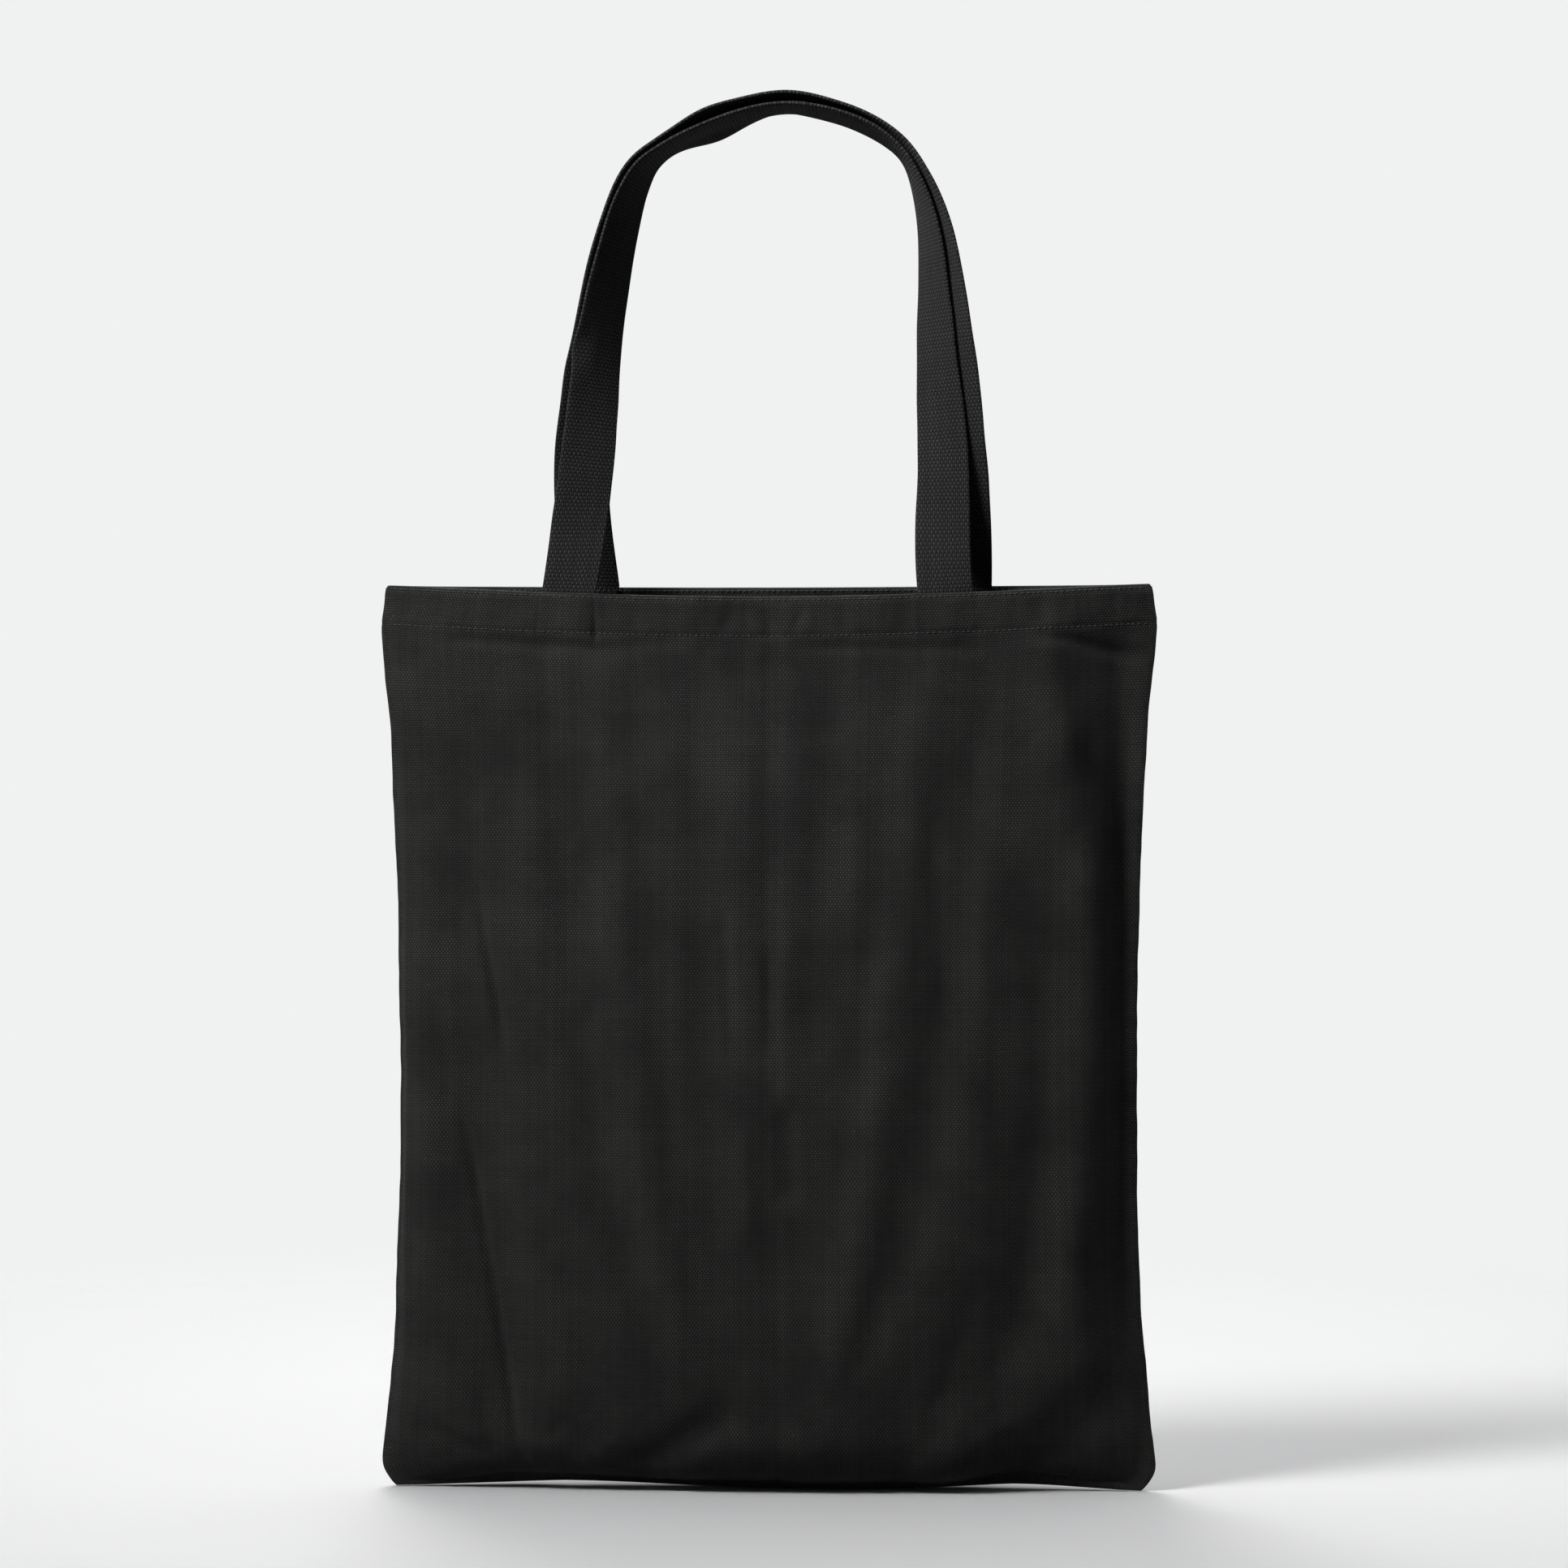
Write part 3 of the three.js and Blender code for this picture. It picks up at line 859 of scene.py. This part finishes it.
def canvas_panel(name):
    side = SIDES[name]
    rows = panel_rows()
    columns = panel_columns(name)
    middle, normal = body(name, rows, columns)
    middle[:, :, 1] = clear_of_seam(side, middle[:, :, 1], SEAM_SIDE)
    count = len(rows)
    flat = together(columns[None, :] * FLAT_WIDTH / 2, rows[:, None], side)
    ring = smooth(0.965, 1, np.abs(columns))
    wear = np.maximum(ring[None, :], (1 - smooth(0, 2.5 * MM, RIM_LENGTH - rows))[:, None])
    wear = np.maximum(wear, (1 - smooth(6 * MM, 16 * MM, rows))[:, None] * 0.8)

    # The hem: over the rim, down inside, and its raw edge turned back up between the layers.
    grids, flats, wears = [middle], [flat], [wear]
    level = unit(normal[-1] * [1, 1, 0])
    reach = np.abs(columns) ** 8
    for inset, rise, length in hem_stations():
        below = max(0.0, -rise)
        line, _ = body(name, [RIM_LENGTH - below], columns)
        line = line[0] - level * inset + [0, 0, max(rise, 0)]
        line[:, 0] *= 1 - 1.1 * inset / PANEL_HIGH.x * reach
        line[:, 1] = clear_of_seam(side, line[:, 1], max(SEAM_LAYER, SEAM_SIDE - inset))
        grids.append(line[None])
        flats.append(together(columns * FLAT_WIDTH / 2, RIM_LENGTH + length, side)[None])
        wears.append(np.full((1, len(columns)), float(abs(rise) <= HEM_FOLD and rise >= 0)))
    grid = np.concatenate(grids)
    flat = np.concatenate(flats)
    wear = np.concatenate(wears)
    quads = grid_quads(*grid.shape[:2])

    # The seam allowance: round the seam and in, along the left side, the bottom and the right.
    number = np.arange(grid.shape[0] * grid.shape[1]).reshape(grid.shape[:2])
    border = np.concatenate([number[count - 1:0:-1, 0], number[0, :], number[1:count, -1]])
    inner = np.concatenate([number[count - 1:0:-1, 1], number[1, :], number[1:count, -2]])
    points = grid.reshape(-1, 3)
    cloth = flat.reshape(-1, 3)
    at = points[border]
    heading = unit(at - points[inner])
    flat_heading = unit(cloth[border] - cloth[inner])
    core_x = np.clip(at[:, 0], CORNER - PANEL_HIGH.x, PANEL_HIGH.x - CORNER)
    core_z = np.maximum(at[:, 2], CORNER)
    out = unit(together(at[:, 0] - core_x, 0, at[:, 2] - core_z))
    turned = at - out * SEAM_ROUND
    turned[:, 1] = side * SEAM_LAYER
    controls = [at, at + heading * 0.75 * MM, turned + out * 0.9 * MM, turned]
    strips = []
    for t in np.linspace(0, 1, 7)[1:]:
        parts = [(1 - t) ** 3, 3 * t * (1 - t) ** 2, 3 * t * t * (1 - t), t ** 3]
        strips.append((sum(p * c for p, c in zip(parts, controls)), SEAM_TURN * t, 1.0 - 0.5 * t))
    for depth in np.linspace(0, ALLOWANCE, 6)[1:]:
        strips.append((turned - out * depth, SEAM_TURN + depth, 0.0))
    all_points, all_cloth, all_wear, all_quads = [points], [cloth], [wear.ravel()], [quads]
    before = border
    for line, length, worn in strips:
        after = sum(len(p) for p in all_points) + np.arange(len(border))
        all_points.append(line)
        all_cloth.append(cloth[border] + flat_heading * length)
        all_wear.append(np.full(len(border), worn))
        all_quads.append(np.stack([before[1:], before[:-1], after[:-1], after[1:]], 1))
        before = after
    quads = np.concatenate(all_quads)
    points = np.concatenate(all_points)
    points[:, 2] = np.maximum(points[:, 2], CANVAS / 2 + 0.1 * MM)
    if side > 0:
        quads = quads[:, ::-1]
    piece = thick_sheet(f"{name}_canvas", settle(points), quads, CANVAS,
                        np.concatenate(all_cloth), np.concatenate(all_wear), CANVAS_BLACK)
    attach(piece, "bag")
    return piece


front_canvas = canvas_panel("front")
back_canvas = canvas_panel("back")
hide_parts("front_panel", "front_hem", "left_seam_allowance", "bottom_seam_allowance")
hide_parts("back_panel", "back_hem", "right_seam_allowance")


# ======== Thread ========
STITCH_PITCH = 2.6 * MM
STITCH_LENGTH = 1.95 * MM
THREAD = 0.31 * MM
STITCH_LIFT = (-0.3, 0.1, 0.17, 0.1, -0.3)      # of the thread's middle above the cloth, in mm
STITCH_SIZE = (0.55, 1.0, 1.05, 1.0, 0.55)
STITCH_RINGS = len(STITCH_LIFT)
RING = 6


def tube_rings(centres, along, up, radii):
    """Rings of points around centres. All are arrays, with one ring for each row."""
    beside = unit(np.cross(along, up))
    up = np.cross(beside, along)
    angles = np.linspace(0, 2 * math.pi, RING, endpoint=False)
    ring = (np.cos(angles)[:, None] * beside[..., None, :] + np.sin(angles)[:, None] * up[..., None, :])
    return centres[..., None, :] + ring * np.asarray(radii)[..., None, None], angles


def tube_faces(first, rings):
    faces = []
    for k in range(rings - 1):
        base = first + k * RING
        for a in range(RING):
            b = (a + 1) % RING
            faces.append((base + a, base + b, base + RING + b, base + RING + a))
    faces.append(tuple(first + a for a in reversed(range(RING))))
    faces.append(tuple(first + (rings - 1) * RING + a for a in range(RING)))
    return faces


def lengths_along(path):
    """How far along a path each of its points is."""
    return np.concatenate([[0], np.cumsum(np.linalg.norm(np.diff(path, axis=0), axis=1))])


def read_path(path, lengths, at):
    return np.stack([np.interp(at, lengths, path[:, k]) for k in range(3)], -1)


def thread_piece(name, points, faces, cloth, node):
    piece = make_piece(name, points, faces, cloth, np.zeros(len(points)), THREAD_BLACK)
    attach(piece, "bag")
    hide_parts(node)


def stitch_lines(name, lines, node):
    """Rows of separate stitches. Each line is a path and the way that its stitches face."""
    points, cloth, faces = [], [], []
    random = np.random.default_rng(len(name) * 7)
    for path, facing in lines:
        lengths = lengths_along(path)
        starts = np.arange(0.5 * STITCH_PITCH, lengths[-1] - STITCH_PITCH, STITCH_PITCH)
        starts = starts + random.uniform(-0.25, 0.25, len(starts)) * MM
        for start in starts:
            size = STITCH_LENGTH * random.uniform(0.8, 1.08)
            sunk = random.uniform(-0.16, 0.06)
            at = start + np.linspace(0, size, STITCH_RINGS)
            centres = read_path(path, lengths, at)
            up = unit(read_path(facing, lengths, at))
            along = unit(np.gradient(centres, axis=0))
            slant = random.normal(0.16, 0.09) * MM * np.linspace(-1, 1, STITCH_RINGS)
            centres = centres + up * ((np.array(STITCH_LIFT) + sunk) * MM)[:, None]
            centres = centres + np.cross(along, up) * slant[:, None]
            along = unit(np.gradient(centres, axis=0))
            rings, angles = tube_rings(centres, along, up, THREAD * np.array(STITCH_SIZE))
            faces += tube_faces(RING * STITCH_RINGS * len(points), STITCH_RINGS)
            points.append(rings.reshape(-1, 3))
            around = np.tile(angles, STITCH_RINGS)
            cloth.append(together(around, np.repeat(at, RING), 0))
    points = settle(np.concatenate(points))
    thread_piece(name, points, faces, np.concatenate(cloth), node)


def cord_piece(name, path, radius, up, node):
    """One long thread along a path."""
    along = unit(np.gradient(path, axis=0))
    lengths = lengths_along(path)
    rings, angles = tube_rings(path, along, np.broadcast_to(up, path.shape), np.full(len(path), radius))
    around = np.tile(angles, len(path))
    cloth = together(around, np.repeat(lengths, RING), 0)
    points = settle(rings.reshape(-1, 3))
    thread_piece(name, points, tube_faces(0, len(path)), cloth, node)


TAIL_INSET = INNER_HEM + CANVAS / 2 + WEBBING / 2 + 0.08 * MM


def hem_line(name, drop, reach=0.985):
    """Outside and inside paths of a row of stitches round the hem. Inside, it rides over the
    sewn ends of the handle."""
    columns = np.linspace(-reach, reach, 700)
    line, normal = body(name, [PANEL_LENGTH - drop], columns)
    line, normal = line[0], normal[0]
    outside = line + normal * CANVAS / 2
    inset = np.full(len(columns), INNER_HEM + CANVAS / 2)
    for middle in STRAP_MIDDLES[name]:
        aside = np.abs(line[:, 0] - middle)
        over = 1 - smooth(HALF_WEBBING - 0.3 * MM, HALF_WEBBING + 0.5 * MM, aside)
        inset = inset + over * (TAIL_INSET + WEBBING / 2 - INNER_HEM - CANVAS / 2)
    within = np.abs(columns) < 0.95
    inside = (line - normal * inset[:, None])[within]
    return [(outside, normal), (inside, -normal[within])]


for name in SIDES:
    stitch_lines(f"{name}_rim_stitches", hem_line(name, RIM_STITCH_DROP), f"{name}_rim_stitching")
    stitch_lines(f"{name}_hem_stitches", hem_line(name, HEM_STITCH_DROP), f"{name}_hem_stitching")


# ---- Seams inside the bag ----
SEAM_STITCH_DEPTH = 2.6 * MM
OVERLOCK_PITCH = 3.2 * MM
OVERLOCK_REACH = 4 * MM
OVERLOCK_STEPS = 14             # in one turn of the thread
OVERLOCK = 0.22 * MM
SEAM_LOW = CORNER + 4 * MM
SEAM_HIGH = RIM - HEM_DEPTH - 3 * MM


def side_seam(end, depth, steps):
    """A line inside a side seam, the given depth in from the seam."""
    heights = np.linspace(SEAM_LOW, SEAM_HIGH, steps)
    half_width = half_width_at(heights)
    inwards = together(0 * heights - end, 0, 0)
    edge = together(end * half_width, 0, heights)
    return edge + inwards * depth, inwards


def bottom_seam(depth, steps):
    x = np.linspace(CORNER - CURVE[0, 0], CURVE[0, 0] - CORNER, steps)
    inwards = together(0 * x, 0, 1)
    edge = together(x, 0, MM)
    return edge + inwards * depth, inwards


def overlock(line, inwards):
    """Thread wound over the raw edge: across one face, over the edge, across the other."""
    steps = len(line)
    run = np.linalg.norm(line[-1] - line[0])
    phase = np.linspace(0, 2 * math.pi * run / OVERLOCK_PITCH, steps)
    swing = np.sin(phase)
    face = (SEAM_LAYER + CANVAS / 2 + 0.16 * MM) * np.tanh(3.2 * swing)
    back = OVERLOCK_REACH * np.abs(swing) ** 1.6 - 0.35 * MM
    path = line - inwards * back[:, None]
    path[:, 1] += face
    return path


def seam_thread(name, seam):
    line, _ = seam(SEAM_STITCH_DEPTH, 300)
    face = np.array([0, 1, 0]) * (SEAM_LAYER + CANVAS / 2)
    faces = [(line + face * side, np.broadcast_to([0.0, side, 0], line.shape)) for side in (-1, 1)]
    stitch_lines(f"{name}_seam_stitches", faces, f"{name}_seam_stitching")
    steps = OVERLOCK_STEPS * int(np.linalg.norm(line[-1] - line[0]) / OVERLOCK_PITCH)
    edge, inwards = seam(SEAM_ROUND + ALLOWANCE, steps)
    cord_piece(f"{name}_overlock_thread", overlock(edge, inwards), OVERLOCK, (0.3, 1, 0.2),
               f"{name}_seam_overlock")


seam_thread("left", lambda depth, steps: side_seam(-1, depth, steps))
seam_thread("right", lambda depth, steps: side_seam(1, depth, steps))
seam_thread("bottom", bottom_seam)


# ======== The handles ========
# One handle's loop, up the left leg, over the top and down the right one: x and height of the
# middle of the pair in mm, turn of the webbing's face in degrees, distance between the two
# handles in mm, and how far each is slid along its own width, the front one the other way.
# It is the CAD handles' route.
LOOP = np.array([
    (-83.5, 406.5, 0, 27, 3.8), (-83.5, 455, 14, 15, 0.3), (-78, 510, 39, 4.6, 0),
    (-71.2, 552, 52, 3.6, 0), (-61, 588, 68, 3.2, 0), (-47.5, 605, 83, 3.2, 0),
    (-20, 618, 80, 4.6, 0), (8, 624.5, 82, 5.2, 0), (34, 620, 82, 3.8, 0),
    (54, 609.5, 81, 3, -0.2), (66.5, 594.5, 79, 3, -1.2), (75.5, 566, 65, 3.2, -3),
    (80, 515, 45, 3.4, -4.2), (83.5, 458, 19, 5.5, -3.4), (83.5, 406.5, 0, 27, -3.8)])
BASE_TURN = 5.2                 # degrees, so that the webbing's base follows the rim's curve
BASE_TURN_HEIGHT = 45 * MM      # and has lost that turn this far above the rim
LOOP_STEP = 1.8 * MM
SEWN_FADE = 40 * MM             # the webbing leaves the hem's curve over this length
SELVEDGE = 0.8 * MM
LOOP_FREE = RIM + 40 * MM       # above this a handle no longer follows how the bag settles

# Places where a strap's edge curls: how far along the loop from 0 to 1, which edge (-1 is the
# left one at the left base), how far the edge moves back, and the length of the curl in mm.
FRONT_CURLS = [(0.205, -1, 2.6, 9), (0.44, 1, -2.8, 13), (0.5, 1, 1.8, 13), (0.62, 1, 1.2, 16)]
BACK_CURLS = [(0.19, -1, 1.4, 12), (0.44, -1, 1.6, 14), (0.8, 1, 1.2, 16)]
CURLS = {"front": FRONT_CURLS, "back": BACK_CURLS}


def loop_path(side):
    """Middle of one handle's webbing, the way it faces and the way its width runs."""
    fine = catmull(LOOP, np.linspace(0, len(LOOP) - 1, 2801))
    centre = together(fine[:, 0] * MM, 0, fine[:, 1] * MM)
    lengths = lengths_along(centre)
    at = np.linspace(0, lengths[-1], int(lengths[-1] / LOOP_STEP) + 1)
    centre = read_path(centre, lengths, at)
    turn, apart, slide = [np.interp(at, lengths, fine[:, k]) for k in (2, 3, 4)]
    tangent = unit(np.gradient(centre, axis=0))
    near_base = np.clip(1 - (centre[:, 2] - RIM) / BASE_TURN_HEIGHT, 0, 1)
    angle = np.radians(turn + side * BASE_TURN * near_base)
    inwards = together(tangent[:, 2], 0, -tangent[:, 0])
    face = np.sin(angle)[:, None] * inwards
    face[:, 1] -= np.cos(angle)
    middle = centre - face * (side * apart * MM / 2)[:, None]
    width = np.cross(tangent, face)
    return middle + width * (side * slide * MM)[:, None], face, width, at


def across_webbing():
    """Places across the webbing from -1 to 1, close together at its edges, and its half
    thickness at each."""
    half = WEBBING_WIDTH / 2
    edge = half - SELVEDGE * (1 - np.cos(np.linspace(0, math.pi / 2, 5)))[::-1]
    inner = np.linspace(-edge[0], edge[0], 13)[1:-1]
    places = np.concatenate([-edge[::-1], inner, edge])
    beyond = np.clip((np.abs(places) - (half - SELVEDGE)) / SELVEDGE, 0, 1)
    thickness = WEBBING / 2 * np.sqrt(1 - 0.93 * beyond ** 2)
    return places / half, thickness


def hold_ends(rows, count):
    """The rows with the first and the last one repeated that many times before and after."""
    return np.concatenate([np.repeat(rows[:1], count, 0), rows, np.repeat(rows[-1:], count, 0)])


def strap(name):
    side = SIDES[name]
    middle, face, width, at = loop_path(side)
    length = at[-1]
    places, half_thickness = across_webbing()
    half = WEBBING_WIDTH / 2
    grid = middle[:, None] + width[:, None] * (places * half)[None, :, None]

    # Where the webbing is sewn it lies flat on the hem, and it leaves that curve bit by bit.
    drops = np.linspace(TAIL_LENGTH, 0, 12)[:-1]
    tails = []
    for base in (0, -1):
        x = grid[base, :, 0]
        columns = x / half_width_at(RIM)
        line, normal = body(name, [RIM_LENGTH], columns)
        sewn = line[0] - normal[0] * TAIL_INSET
        sewn[:, 2] = RIM
        missing = sewn[:, 1] - grid[base, :, 1]
        away = at if base == 0 else length - at
        fade = 1 - smooth(0, SEWN_FADE, away)
        grid[:, :, 1] += fade[:, None] * missing[None, :]
        tail = np.stack([sewn - [0, 0, drop] for drop in drops])
        lean, _ = body(name, [RIM_LENGTH - TAIL_LENGTH], columns)
        tail[:, :, 1] += (lean[0] - line[0])[None, :, 1] * (drops / TAIL_LENGTH)[:, None]
        tails.append(tail)
    grid = np.concatenate([tails[0], grid, tails[1][::-1]])
    run = np.concatenate([TAIL_LENGTH - drops, TAIL_LENGTH + at, TAIL_LENGTH + length + drops[::-1]])
    facing = hold_ends(face, len(drops))
    widths = hold_ends(width, len(drops))

    # The webbing isn't a perfect ribbon: it cups, its edges wander, and here and there one curls.
    share = (run - TAIL_LENGTH) / length
    free = smooth(0.02, 0.09, share) * smooth(0.02, 0.09, 1 - share)
    seed = 31 if name == "front" else 37
    line = together(run, 0, 0)
    cup = (0.5 + 0.45 * wave(line, 60 * MM, seed)) * MM * free
    offset = -cup[:, None] * (places ** 2)[None, :]
    twist = wave(line, 26 * MM, seed + 1)[:, None] * places[None, :]
    ripple = twist + wave(line, 41 * MM, seed + 2)[:, None]
    offset = offset + 0.35 * MM * free[:, None] * ripple
    for where, edge, depth, spread in CURLS[name]:
        along = bump(share, where, spread * MM / length)
        toward = smooth(0.25, 1.0, edge * places)
        offset = offset - depth * MM * along[:, None] * toward[None, :]
    wander = 0.3 * MM * free * wave(line, 17 * MM, seed + 3)
    aside = wander[:, None] * places[None, :]
    grid = grid + facing[:, None] * offset[:, :, None] + widths[:, None] * aside[:, :, None]

    flat = together((places * half)[None, :], run[:, None], side)
    wear = np.broadcast_to(smooth(0.9, 0.98, np.abs(places))[None, :] * 0.9, grid.shape[:2])
    sewn_part = 1 - smooth(RIM + 2 * MM, LOOP_FREE, grid[:, :, 2])
    grid = grid + (settle(grid) - grid) * sewn_part[:, :, None]
    quads = grid_quads(*grid.shape[:2])
    thickness = np.broadcast_to(2 * half_thickness[None, :], grid.shape[:2]).ravel()
    piece = thick_sheet(f"{name}_strap", grid.reshape(-1, 3), quads, thickness,
                        flat.reshape(-1, 3), wear.ravel(), WEBBING_BLACK)
    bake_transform(piece)
    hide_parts(f"{name}_handle", f"{name}_handle_left_end", f"{name}_handle_right_end")


for name in SIDES:
    strap(name)
